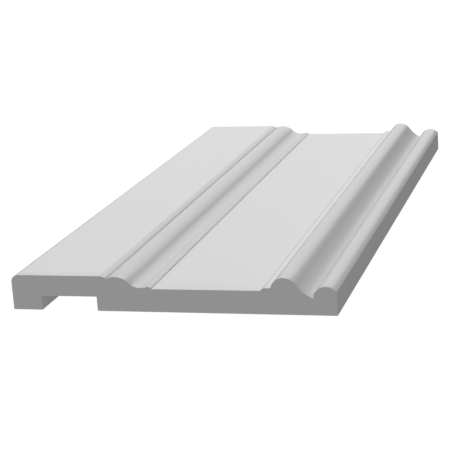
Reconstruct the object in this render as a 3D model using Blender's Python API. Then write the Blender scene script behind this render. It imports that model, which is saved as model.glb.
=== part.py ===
"""Skirting board: one length of moulded skirting with a cable channel in its back.

The board lies on its back, as it is shown. X runs up the wall, from the bottom edge
at -X to the top edge at +X. Y runs along the wall. Z is the thickness, from the wall
side at z = 0 to the room side. The origin is the middle of the back face.

The face is a chain of members, from the floor upward: plinth, quirk, lower ogee,
lower bead, flat field, fillet, upper ogee and top bead. The lower members are placed
from the bottom edge and the upper ones from the top edge, so the field takes up
whatever height is left.
"""

import math

import bmesh
import bpy
from mathutils import Vector

# Overall size, in metres.
BOARD_HEIGHT = 0.225
BOARD_LENGTH = 0.494

# Plinth: the thick plain part at the floor, with a rounded bottom edge.
PLINTH_HEIGHT = 0.0683
PLINTH_THICKNESS = 0.0244
TOE_RADIUS = 0.0050

# Quirk: the narrow groove that parts the plinth from the lower ogee. The plinth rounds
# into it and ends in a small upright step at its bottom.
QUIRK_DEPTH = 0.0020
QUIRK_STEP = 0.0005
QUIRK_EDGE_RADIUS = 0.0090

# Lower ogee: a convex round that turns into a cove.
LOWER_OGEE_THICKNESS = 0.0240
LOWER_OGEE_RADIUS = 0.0132
LOWER_COVE_THICKNESS = 0.0166
LOWER_COVE_RADIUS = 0.0118

# Lower bead: a small round between the cove and the field.
LOWER_BEAD_THICKNESS = 0.0174
LOWER_BEAD_RADIUS = 0.0038
LOWER_BEAD_SLOPE = math.radians(44.0)

# Field: the wide flat face, and the raised fillet above it.
FIELD_THICKNESS = 0.0160
FILLET_THICKNESS = 0.0180
FILLET_WIDTH = 0.00355
FILLET_EDGE_RADIUS = 0.0031

# Upper ogee: the thickest member. Its crest is placed from the top edge.
UPPER_OGEE_THICKNESS = 0.0250
UPPER_OGEE_FROM_TOP = 0.0352
UPPER_OGEE_FLANK_RADIUS = 0.0084
UPPER_OGEE_FLANK_SLOPE = math.radians(62.0)
UPPER_OGEE_RADIUS = 0.01025
UPPER_COVE_RADIUS = 0.0233

# Top bead: the round along the top edge, with a sharp valley below it.
TOP_BEAD_THICKNESS = 0.01945
TOP_BEAD_RADIUS = 0.0088
TOP_BEAD_FROM_TOP = 0.0071
TOP_BEAD_WIDTH = 0.0156
VALLEY_THICKNESS = 0.01145

# Cable channel: a square groove along the back, above a solid foot.
FOOT_HEIGHT = 0.0210
CHANNEL_WIDTH = 0.0398
CHANNEL_DEPTH = 0.0100

# Round stretches turn by at most this much from one face to the next.
ARC_STEP = math.radians(3.0)
WELD_DISTANCE = 0.00001
SHARP_ANGLE = math.radians(12.0)

PAINT_COLOUR = (0.74, 0.74, 0.74, 1.0)
PAINT_ROUGHNESS = 0.5


def arc(centre, radius, start, end):
    """Points round a centre from the start angle to the end angle, both included."""
    steps = max(2, math.ceil(abs(end - start) / ARC_STEP))
    angles = [start + (end - start) * step / steps for step in range(steps + 1)]
    return [centre + radius * Vector((math.cos(angle), math.sin(angle))) for angle in angles]


def angle_of(vector):
    """Direction of a vector, from 0 to a full turn."""
    return math.atan2(vector.y, vector.x) % math.tau


def rounded_edge_sweep(rise, radius):
    """Angle of a rounding that takes up a rise, a quarter turn at most."""
    return math.acos(max(0.0, 1.0 - rise / radius))


def plinth_face():
    """Rounded toe, flat plinth and the rounding that falls to the step in the quirk."""
    toe_centre = Vector((TOE_RADIUS, PLINTH_THICKNESS - TOE_RADIUS))
    sweep = rounded_edge_sweep(QUIRK_DEPTH - QUIRK_STEP, QUIRK_EDGE_RADIUS)
    edge_centre = Vector((
        PLINTH_HEIGHT - QUIRK_EDGE_RADIUS * math.sin(sweep),
        PLINTH_THICKNESS - QUIRK_EDGE_RADIUS,
    ))
    toe = arc(toe_centre, TOE_RADIUS, math.pi, math.pi / 2)
    edge = arc(edge_centre, QUIRK_EDGE_RADIUS, math.pi / 2, math.pi / 2 - sweep)
    return toe + edge


def lower_ogee_and_bead():
    """Convex round out of the quirk, cove and small bead, each tangent to the next."""
    quirk = Vector((PLINTH_HEIGHT, PLINTH_THICKNESS - QUIRK_DEPTH))
    ogee_z = LOWER_OGEE_THICKNESS - LOWER_OGEE_RADIUS
    quirk_run = math.sqrt(LOWER_OGEE_RADIUS ** 2 - (quirk.y - ogee_z) ** 2)
    ogee = Vector((quirk.x + quirk_run, ogee_z))

    cove_z = LOWER_COVE_THICKNESS + LOWER_COVE_RADIUS
    ogee_reach = LOWER_OGEE_RADIUS + LOWER_COVE_RADIUS
    cove = Vector((ogee.x + math.sqrt(ogee_reach ** 2 - (cove_z - ogee.y) ** 2), cove_z))

    bead_z = LOWER_BEAD_THICKNESS - LOWER_BEAD_RADIUS
    bead_reach = LOWER_BEAD_RADIUS + LOWER_COVE_RADIUS
    bead = Vector((cove.x + math.sqrt(bead_reach ** 2 - (cove.y - bead_z) ** 2), bead_z))

    ogee_end = angle_of(cove - ogee)
    cove_end = angle_of(bead - cove)
    round_out = arc(ogee, LOWER_OGEE_RADIUS, angle_of(quirk - ogee), ogee_end)
    hollow = arc(cove, LOWER_COVE_RADIUS, ogee_end + math.pi, cove_end)
    small_bead = arc(bead, LOWER_BEAD_RADIUS, cove_end - math.pi, math.pi / 2 - LOWER_BEAD_SLOPE)
    field_start = Vector((small_bead[-1].x, FIELD_THICKNESS))
    return round_out + hollow[1:] + small_bead[1:] + [field_start]


def fillet_and_upper_ogee():
    """Step up to the fillet, straight flank, thick convex round and the cove behind it."""
    crest_x = BOARD_HEIGHT - UPPER_OGEE_FROM_TOP
    flank_centre = Vector((crest_x, UPPER_OGEE_THICKNESS - UPPER_OGEE_FLANK_RADIUS))
    flank_start = math.pi / 2 + UPPER_OGEE_FLANK_SLOPE
    flank = arc(flank_centre, UPPER_OGEE_FLANK_RADIUS, flank_start, math.pi / 2)
    flank_rise = flank[0].y - FILLET_THICKNESS
    flank_foot = Vector((flank[0].x - flank_rise / math.tan(UPPER_OGEE_FLANK_SLOPE), FILLET_THICKNESS))

    sweep = rounded_edge_sweep(FILLET_THICKNESS - FIELD_THICKNESS, FILLET_EDGE_RADIUS)
    step_centre = Vector((flank_foot.x - FILLET_WIDTH, FILLET_THICKNESS - FILLET_EDGE_RADIUS))
    step = arc(step_centre, FILLET_EDGE_RADIUS, math.pi / 2 + sweep, math.pi / 2)
    field_end = Vector((step[0].x, FIELD_THICKNESS))

    ogee = Vector((crest_x, UPPER_OGEE_THICKNESS - UPPER_OGEE_RADIUS))
    valley = Vector((BOARD_HEIGHT - TOP_BEAD_WIDTH, VALLEY_THICKNESS))
    cove = meeting_point(ogee, UPPER_OGEE_RADIUS + UPPER_COVE_RADIUS, valley, UPPER_COVE_RADIUS)
    ogee_end = angle_of(cove - ogee)
    crest = arc(ogee, UPPER_OGEE_RADIUS, math.pi / 2, ogee_end)
    hollow = arc(cove, UPPER_COVE_RADIUS, ogee_end + math.pi, angle_of(valley - cove))
    return [field_end] + step + [flank_foot] + flank + crest[1:] + hollow[1:]


def meeting_point(first, first_reach, second, second_reach):
    """The point above both centres that lies at the given reach from each of them."""
    across = second - first
    span = across.length
    along = (span ** 2 + first_reach ** 2 - second_reach ** 2) / (2.0 * span)
    aside = math.sqrt(first_reach ** 2 - along ** 2)
    direction = across / span
    return first + along * direction + aside * Vector((-direction.y, direction.x))


def top_bead():
    """Upright wall out of the valley and the round that ends at the top edge."""
    centre = Vector((BOARD_HEIGHT - TOP_BEAD_FROM_TOP, TOP_BEAD_THICKNESS - TOP_BEAD_RADIUS))
    wall_offset = (TOP_BEAD_FROM_TOP - TOP_BEAD_WIDTH) / TOP_BEAD_RADIUS
    start = math.acos(max(-1.0, wall_offset))
    end = math.acos(min(1.0, TOP_BEAD_FROM_TOP / TOP_BEAD_RADIUS))
    return arc(centre, TOP_BEAD_RADIUS, start, end)


def back_face():
    """Corners of the flat back and of its cable channel, from the top edge to the foot."""
    channel_top = FOOT_HEIGHT + CHANNEL_WIDTH
    return [
        Vector((BOARD_HEIGHT, 0.0)),
        Vector((channel_top, 0.0)),
        Vector((channel_top, CHANNEL_DEPTH)),
        Vector((FOOT_HEIGHT, CHANNEL_DEPTH)),
        Vector((FOOT_HEIGHT, 0.0)),
        Vector((0.0, 0.0)),
    ]


def section():
    """Closed outline of the board's section, with x from the bottom edge."""
    face = plinth_face() + lower_ogee_and_bead() + fillet_and_upper_ogee() + top_bead()
    return face + back_face()


def paint_material():
    """White satin paint, the same on every face and on the cut ends."""
    material = bpy.data.materials.new("white_paint")
    material.use_nodes = True
    shader = material.node_tree.nodes["Principled BSDF"]
    shader.inputs["Base Color"].default_value = PAINT_COLOUR
    shader.inputs["Roughness"].default_value = PAINT_ROUGHNESS
    shader.inputs["Metallic"].default_value = 0.0
    material.diffuse_color = PAINT_COLOUR
    return material


def section_curve(collection):
    """Flat outline of the section, extruded to the board's length."""
    points = section()
    curve = bpy.data.curves.new("section", "CURVE")
    curve.dimensions = "2D"
    curve.fill_mode = "BOTH"
    curve.extrude = BOARD_LENGTH / 2
    spline = curve.splines.new("POLY")
    spline.points.add(len(points) - 1)
    for spline_point, point in zip(spline.points, points):
        spline_point.co = (point.x - BOARD_HEIGHT / 2, point.y, 0.0, 1.0)
    spline.use_cyclic_u = True
    outline = bpy.data.objects.new("section", curve)
    outline.rotation_euler.x = math.pi / 2
    collection.objects.link(outline)
    return outline


def solid_from_curve(outline, name, collection):
    """Turn an extruded curve into a welded mesh object and remove the curve."""
    bpy.context.view_layer.update()
    depsgraph = bpy.context.evaluated_depsgraph_get()
    mesh = bpy.data.meshes.new_from_object(outline.evaluated_get(depsgraph))
    mesh.name = name
    cleaner = bmesh.new()
    cleaner.from_mesh(mesh)
    bmesh.ops.remove_doubles(cleaner, verts=cleaner.verts, dist=WELD_DISTANCE)
    bmesh.ops.recalc_face_normals(cleaner, faces=cleaner.faces)
    cleaner.to_mesh(mesh)
    cleaner.free()
    solid = bpy.data.objects.new(name, mesh)
    solid.matrix_world = outline.matrix_world.copy()
    collection.objects.link(solid)
    bpy.data.objects.remove(outline, do_unlink=True)
    return solid


def skirting_board(collection):
    """The whole board as one solid."""
    board = solid_from_curve(section_curve(collection), "skirting_board", collection)
    board.data.shade_smooth()
    board.data.set_sharp_from_angle(angle=SHARP_ANGLE)
    board.data.materials.clear()
    board.data.materials.append(paint_material())
    return board


def main():
    for existing in list(bpy.data.objects):
        bpy.data.objects.remove(existing, do_unlink=True)
    collection = bpy.data.collections.new("skirting_board")
    bpy.context.scene.collection.children.link(collection)
    skirting_board(collection)


main()
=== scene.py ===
"""Looks of the skirting board: a finely softened moulding in a satin white finish,
lying on its back on a plain pale floor in soft studio light.

Metres throughout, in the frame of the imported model: X up the board's height, Y along
its length and Z through its thickness.
"""

import math

import bmesh
import bpy
from mathutils import Euler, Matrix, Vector


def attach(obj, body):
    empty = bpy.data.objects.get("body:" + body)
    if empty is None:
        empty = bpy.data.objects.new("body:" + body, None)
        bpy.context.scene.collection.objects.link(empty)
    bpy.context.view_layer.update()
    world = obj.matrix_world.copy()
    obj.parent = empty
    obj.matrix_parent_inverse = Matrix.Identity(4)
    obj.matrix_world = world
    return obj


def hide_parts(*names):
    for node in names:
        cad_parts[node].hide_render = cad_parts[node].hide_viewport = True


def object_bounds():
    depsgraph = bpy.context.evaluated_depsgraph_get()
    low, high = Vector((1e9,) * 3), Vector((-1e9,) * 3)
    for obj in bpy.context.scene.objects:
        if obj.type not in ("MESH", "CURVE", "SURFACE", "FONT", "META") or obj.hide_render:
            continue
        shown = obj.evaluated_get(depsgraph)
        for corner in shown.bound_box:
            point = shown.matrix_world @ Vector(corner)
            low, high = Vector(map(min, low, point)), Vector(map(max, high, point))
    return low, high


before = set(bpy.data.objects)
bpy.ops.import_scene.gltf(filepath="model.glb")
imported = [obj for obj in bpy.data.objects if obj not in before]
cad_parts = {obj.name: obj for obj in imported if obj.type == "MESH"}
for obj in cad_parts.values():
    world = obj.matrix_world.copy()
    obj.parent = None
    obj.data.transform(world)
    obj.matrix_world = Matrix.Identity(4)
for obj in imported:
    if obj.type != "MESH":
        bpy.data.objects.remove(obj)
CAD_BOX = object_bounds()
NODE = "skirting_board"

# Camera at the photo's viewing angle. Its place is measured from the middle of the
# board's back.
CAMERA_PLACE = (0.3023, -1.1357, 0.3056)
CAMERA_TURN = (math.radians(75.130), math.radians(3.908), math.radians(15.325))
SENSOR_WIDTH = 36.0
FOCAL_LENGTH = 118.90

# Softened edges: how far the softening reaches along each side of a sharp corner, which
# is at most a share of the gap to the next corner, and the radius where the section
# meets the cut ends.
CORNER_TURN = math.radians(12.0)
CORNER_REACH = 0.0002
GAP_SHARE = 0.45
CORNER_STEPS = 5
END_RADIUS = 0.0001
END_STEPS = 4
LENGTH_STEPS = 40

# Reading the outline: nearer points than the weld distance are one, and lengths that
# differ by less than the tolerance are equal. A face belongs to a cut end when its
# normal is this close to the board's length.
WELD_DISTANCE = 0.00001
TOLERANCE = 0.000001
CAP_FACING = 0.999

# Finish: faint clouds and lengthwise streaks in the colour, orange peel on the skin,
# and small cells with saw lines on the cut ends. A stretch is lumps per metre. Level
# parts of the face that are longer than SHORTEST_FLAT get painted light, a lighter colour
# than the white's own, which fades out over FLAT_EDGE.
CURVE_TONE = 0.70
# The flats' colour: the white's own tone raised by painted light, standing in for the brighter light that
# level faces catch.
FLAT_PAINTED_LIGHT_TONE = 0.82
TONE_SPREAD = 0.006
CLOUD_STRETCH = (14.0, 14.0, 14.0)
STREAK_STRETCH = (260.0, 4.0, 260.0)
NOISE_DETAIL = 2.0
SKIN_ROUGHNESS = 0.30
CUT_ROUGHNESS = 0.50
ROUGHNESS_SPREAD = 0.005
SHORTEST_FLAT = 0.003
FLAT_EDGE = 0.001
PEEL_STRETCH = (1100.0, 700.0, 1100.0)
PEEL_HEIGHT = 0.000004
CUT_FACING = 0.9
FACE_FACING = 0.9
CELL_SCALE = 1800.0
SAW_STRETCH = (900.0, 900.0, 60.0)
CUT_HEIGHT = 0.00001

# Places of the Mix node's vector sockets, whose names are shared by its other sockets.
MIX_VECTOR_A = 4
MIX_VECTOR_B = 5
MIX_VECTOR_RESULT = 1

# Studio light. The surround's strength at its middle, and how much it gains towards each
# axis: it is brighter in front and below, as over a pale floor. Each lamp has its bearing in
# degrees, from the board's length towards its bottom edge, its height above the floor in
# degrees, its strength and its width in degrees.
SURROUND = 0.29
SURROUND_GAIN = (0.0, -0.15, -0.15)
LAMPS = {
    "key": (0.0, 60.0, 1.6, 50.0),
    "back": (0.0, 30.0, 0.1, 60.0),
    "window": (12.0, 22.0, 0.4, 44.0),
}
WHITE = (1.0, 1.0, 1.0, 1.0)

# Floor: a glowing plane just below the board, so that it shows as even and pale.
FLOOR_SIZE = 30.0
FLOOR_DROP = 0.0002
FLOOR_COLOUR = (0.02, 0.02, 0.02, 1.0)
FLOOR_ROUGHNESS = 0.9
FLOOR_GLOW = 0.99


def section_outline(node):
    """Ordered (x, z) points of the node's near end face, as a closed outline."""
    mesh = bmesh.new()
    mesh.from_mesh(node.data)
    bmesh.ops.remove_doubles(mesh, verts=mesh.verts, dist=WELD_DISTANCE)
    cap = {face for face in mesh.faces if face.normal.y < -CAP_FACING}
    rim = [edge for edge in mesh.edges if sum(face in cap for face in edge.link_faces) == 1]
    follow = {}
    for edge in rim:
        for vert in edge.verts:
            follow.setdefault(vert, []).append(edge)
    start = min(follow, key=lambda vert: (vert.co.x, vert.co.z))
    outline = [start]
    edge = max(follow[start], key=lambda candidate: candidate.other_vert(start).co.z)
    vert = edge.other_vert(start)
    while vert is not start:
        outline.append(vert)
        edge = next(candidate for candidate in follow[vert] if candidate is not edge)
        vert = edge.other_vert(vert)
    points = [Vector((vert.co.x, vert.co.z)) for vert in outline]
    mesh.free()
    return points


def turn_at(points, index):
    """Signed change of direction at a point of a closed outline."""
    before = points[index] - points[index - 1]
    after = points[(index + 1) % len(points)] - points[index]
    return before.angle_signed(after)


class Route:
    """A closed outline that can be read at any distance along it."""

    def __init__(self, points):
        self.points = points
        self.at = [0.0]
        for index in range(len(points)):
            step = (points[(index + 1) % len(points)] - points[index]).length
            self.at.append(self.at[-1] + step)
        self.length = self.at[-1]

    def point(self, distance):
        distance %= self.length
        low = 0
        high = len(self.points)
        while high - low > 1:
            middle = (low + high) // 2
            if self.at[middle] <= distance:
                low = middle
            else:
                high = middle
        share = (distance - self.at[low]) / (self.at[low + 1] - self.at[low])
        return self.points[low].lerp(self.points[(low + 1) % len(self.points)], share)


def soften_corners(points):
    """Replace each sharp corner by a short curve that is tangent to both sides."""
    route = Route(points)
    corners = [i for i in range(len(points)) if abs(turn_at(points, i)) > CORNER_TURN]
    places = [route.at[i] for i in corners]
    softened = []
    for number, index in enumerate(corners):
        place = places[number]
        gap_before = (place - places[number - 1]) % route.length
        gap_after = (places[(number + 1) % len(places)] - place) % route.length
        reach_before = min(CORNER_REACH, GAP_SHARE * gap_before)
        reach_after = min(CORNER_REACH, GAP_SHARE * gap_after)
        first = route.point(place - reach_before)
        last = route.point(place + reach_after)
        for step in range(CORNER_STEPS + 1):
            t = step / CORNER_STEPS
            softened.append(
                (1 - t) ** 2 * first + 2 * t * (1 - t) * points[index] + t ** 2 * last
            )
        kept_from = place + reach_after + TOLERANCE
        kept_to = place + gap_after - reach_after - TOLERANCE
        for other in range(index + 1, index + len(points)):
            distance = route.at[other % len(points)]
            if distance < place:
                distance += route.length
            if distance >= kept_to:
                break
            if distance > kept_from:
                softened.append(points[other % len(points)].copy())
    return softened


def inward_normals(points):
    """Unit vectors into the material at each point of a clockwise outline."""
    normals = []
    for index in range(len(points)):
        ahead = points[(index + 1) % len(points)] - points[index - 1]
        normals.append(Vector((ahead.y, -ahead.x)).normalized())
    return normals


def length_stations():
    """Places along Y with the inset of the outline there, from end to end."""
    half = CAD_BOX[1][1]
    quarter = [
        (END_RADIUS * math.sin(math.pi / 2 * step / END_STEPS),
         END_RADIUS * (1 - math.cos(math.pi / 2 * step / END_STEPS)))
        for step in range(END_STEPS, 0, -1)
    ]
    near = [(-half + END_RADIUS - out, inset) for out, inset in quarter]
    run = 2 * (half - END_RADIUS)
    middle = [
        (-half + END_RADIUS + run * step / LENGTH_STEPS, 0.0)
        for step in range(LENGTH_STEPS + 1)
    ]
    far = [(half - END_RADIUS + out, inset) for out, inset in reversed(quarter)]
    return near + middle + far


def board_mesh(outline):
    """Loft of the softened section along the length, closed by flat cut ends."""
    normals = inward_normals(outline)
    mesh = bmesh.new()
    rings = []
    for y, inset in length_stations():
        rings.append([
            mesh.verts.new((p.x + inset * n.x, y, p.y + inset * n.y))
            for p, n in zip(outline, normals)
        ])
    count = len(outline)
    for ring, following in zip(rings, rings[1:]):
        for index in range(count):
            other = (index + 1) % count
            mesh.faces.new((ring[index], ring[other], following[other], following[index]))
    mesh.faces.new(list(reversed(rings[0])))
    mesh.faces.new(rings[-1])
    bmesh.ops.recalc_face_normals(mesh, faces=mesh.faces)
    data = bpy.data.meshes.new("board")
    mesh.to_mesh(data)
    mesh.free()
    data.shade_smooth()
    for face in data.polygons:
        face.use_smooth = abs(face.normal.y) < CAP_FACING
    return data


class Shading:
    """The nodes of one material, added and linked in one line each."""

    def __init__(self, name):
        self.material = bpy.data.materials.new(name)
        self.material.use_nodes = True
        self.tree = self.material.node_tree
        self.shader = self.tree.nodes["Principled BSDF"]

    def feed(self, socket, value):
        if isinstance(value, bpy.types.NodeSocket):
            self.tree.links.new(value, socket)
        else:
            socket.default_value = value

    def add(self, kind, sockets, **settings):
        node = self.tree.nodes.new(kind)
        for name, value in settings.items():
            setattr(node, name, value)
        for name, value in sockets.items():
            self.feed(node.inputs[name], value)
        return node

    def noise(self, place, stretch):
        """Noise whose lumps are 1 / stretch metres long in each direction."""
        scaled = self.add("ShaderNodeVectorMath", {0: place, 1: stretch}, operation="MULTIPLY")
        sockets = {"Vector": scaled.outputs[0], "Scale": 1.0, "Detail": NOISE_DETAIL}
        return self.add("ShaderNodeTexNoise", sockets).outputs["Fac"]

    def between(self, share, low, high):
        """Value that goes from low to high as the share goes from 0 to 1."""
        sockets = {"Value": share, "To Min": low, "To Max": high}
        return self.add("ShaderNodeMapRange", sockets).outputs["Result"]

    def math(self, operation, first, second=0.0):
        return self.add("ShaderNodeMath", {0: first, 1: second}, operation=operation).outputs[0]


def flat_stretches(outline):
    """Places in X where the moulded face is level, each as (from, to)."""
    front = CAD_BOX[1][2] / 2
    stretches = []
    for index, point in enumerate(outline):
        following = outline[(index + 1) % len(outline)]
        level = abs(following.y - point.y) < TOLERANCE
        if level and point.y > front and following.x - point.x > SHORTEST_FLAT:
            stretches.append((point.x, following.x))
    return stretches


def flatness(shading, across, outline):
    """1 on the level stretches of the face and 0 on its curved parts."""
    low = CAD_BOX[0][0]
    high = CAD_BOX[1][0]
    share = shading.add("ShaderNodeMapRange", {"Value": across, "From Min": low, "From Max": high})
    ramp = shading.add("ShaderNodeValToRGB", {"Fac": share.outputs["Result"]})
    stops = ramp.color_ramp.elements
    stops[0].color = (0.0, 0.0, 0.0, 1.0)
    stops[1].color = (0.0, 0.0, 0.0, 1.0)
    for start, end in flat_stretches(outline):
        rise = ((start - FLAT_EDGE, 0.0), (start, 1.0))
        fall = ((end, 1.0), (end + FLAT_EDGE, 0.0))
        for place, value in rise + fall:
            stop = stops.new((place - low) / (high - low))
            stop.color = (value, value, value, 1.0)
    return ramp.outputs["Color"]


def finish_material(outline):
    """Satin white skin with painted light on the flats, and sawn cells on the cut ends."""
    shading = Shading("satin_white")
    source = shading.add("ShaderNodeTexCoord", {})
    place = source.outputs["Object"]
    across = shading.add("ShaderNodeSeparateXYZ", {"Vector": place}).outputs["X"]
    facing = shading.add("ShaderNodeSeparateXYZ", {"Vector": source.outputs["Normal"]})
    along = shading.math("ABSOLUTE", facing.outputs["Y"])
    cut = shading.math("GREATER_THAN", along, CUT_FACING)
    face = shading.math("GREATER_THAN", facing.outputs["Z"], FACE_FACING)
    # The flats' mask: where the face is level, it gets painted light.
    painted_light_mask = shading.math("MULTIPLY", face, flatness(shading, across, outline))

    clouds = shading.noise(place, CLOUD_STRETCH)
    streaks = shading.noise(place, STREAK_STRETCH)
    mixed = shading.math("MULTIPLY", shading.math("ADD", clouds, streaks), 0.5)
    marks = shading.between(mixed, -TONE_SPREAD, TONE_SPREAD)
    # The white's own tone, made lighter on the flats by painted light, with faint random marks.
    tone_with_painted_light = shading.math("ADD", shading.between(painted_light_mask, CURVE_TONE, FLAT_PAINTED_LIGHT_TONE), marks)
    shading.feed(shading.shader.inputs["Base Color"], tone_with_painted_light)

    spread = shading.between(clouds, -ROUGHNESS_SPREAD, ROUGHNESS_SPREAD)
    roughness = shading.math("ADD", shading.between(cut, SKIN_ROUGHNESS, CUT_ROUGHNESS), spread)
    shading.feed(shading.shader.inputs["Roughness"], roughness)

    peel = shading.noise(place, PEEL_STRETCH)
    cells = shading.add("ShaderNodeTexVoronoi", {"Vector": place, "Scale": CELL_SCALE}).outputs["Distance"]
    saw = shading.noise(place, SAW_STRETCH)
    skin = shading.add("ShaderNodeBump", {"Distance": PEEL_HEIGHT, "Height": peel})
    sawn = shading.add(
        "ShaderNodeBump", {"Distance": CUT_HEIGHT, "Height": shading.math("ADD", cells, saw)}
    )
    relief = shading.add(
        "ShaderNodeMix",
        {"Factor": cut, MIX_VECTOR_A: skin.outputs["Normal"], MIX_VECTOR_B: sawn.outputs["Normal"]},
        data_type="VECTOR",
    )
    shading.feed(shading.shader.inputs["Normal"], relief.outputs[MIX_VECTOR_RESULT])
    return shading.material


def board():
    outline = soften_corners(section_outline(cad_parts[NODE]))
    piece = bpy.data.objects.new("board", board_mesh(outline))
    bpy.context.scene.collection.objects.link(piece)
    piece.data.materials.append(finish_material(outline))
    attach(piece, "root")
    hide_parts(NODE)


def floor():
    bpy.ops.mesh.primitive_plane_add(size=FLOOR_SIZE, location=(0.0, 0.0, -FLOOR_DROP))
    plane = bpy.context.object
    plane.name = "floor"
    material = bpy.data.materials.new("pale_floor")
    material.use_nodes = True
    shader = material.node_tree.nodes["Principled BSDF"]
    shader.inputs["Base Color"].default_value = FLOOR_COLOUR
    shader.inputs["Roughness"].default_value = FLOOR_ROUGHNESS
    shader.inputs["Emission Color"].default_value = WHITE
    shader.inputs["Emission Strength"].default_value = FLOOR_GLOW
    plane.data.materials.append(material)
    plane.visible_diffuse = False
    plane.visible_glossy = False
    plane.visible_shadow = False


def camera():
    data = bpy.data.cameras.new("camera")
    data.lens = FOCAL_LENGTH
    data.sensor_width = SENSOR_WIDTH
    data.dof.use_dof = False
    view = bpy.data.objects.new("camera", data)
    view.location = CAMERA_PLACE
    view.rotation_euler = Euler(CAMERA_TURN, "XYZ")
    bpy.context.scene.collection.objects.link(view)
    bpy.context.scene.camera = view


def sun(name, direction, strength, spread):
    """Lamp that shines from a direction, given as a vector towards the lamp."""
    data = bpy.data.lights.new(name, "SUN")
    data.energy = strength
    data.angle = math.radians(spread)
    lamp = bpy.data.objects.new(name, data)
    lamp.rotation_euler = Vector(direction).to_track_quat("Z", "Y").to_euler()
    bpy.context.scene.collection.objects.link(lamp)


def towards(bearing, height):
    """Unit vector for a bearing and a height above the floor, both in degrees."""
    turn = math.radians(bearing)
    rise = math.radians(height)
    return (-math.sin(turn) * math.cos(rise), math.cos(turn) * math.cos(rise), math.sin(rise))


def surround():
    """World whose strength changes evenly with the direction."""
    world = bpy.data.worlds.new("studio")
    bpy.context.scene.world = world
    world.use_nodes = True
    nodes = world.node_tree.nodes
    links = world.node_tree.links
    around = nodes.new("ShaderNodeTexCoord")
    gain = nodes.new("ShaderNodeVectorMath")
    gain.operation = "DOT_PRODUCT"
    gain.inputs[1].default_value = SURROUND_GAIN
    total = nodes.new("ShaderNodeMath")
    total.inputs[1].default_value = SURROUND
    background = nodes["Background"]
    background.inputs["Color"].default_value = WHITE
    links.new(around.outputs["Generated"], gain.inputs[0])
    links.new(gain.outputs["Value"], total.inputs[0])
    links.new(total.outputs[0], background.inputs["Strength"])


def light():
    surround()
    for name, (bearing, height, strength, spread) in LAMPS.items():
        sun(name, towards(bearing, height), strength, spread)
    bpy.context.scene.view_settings.view_transform = "Standard"


camera()
board()
floor()
light()
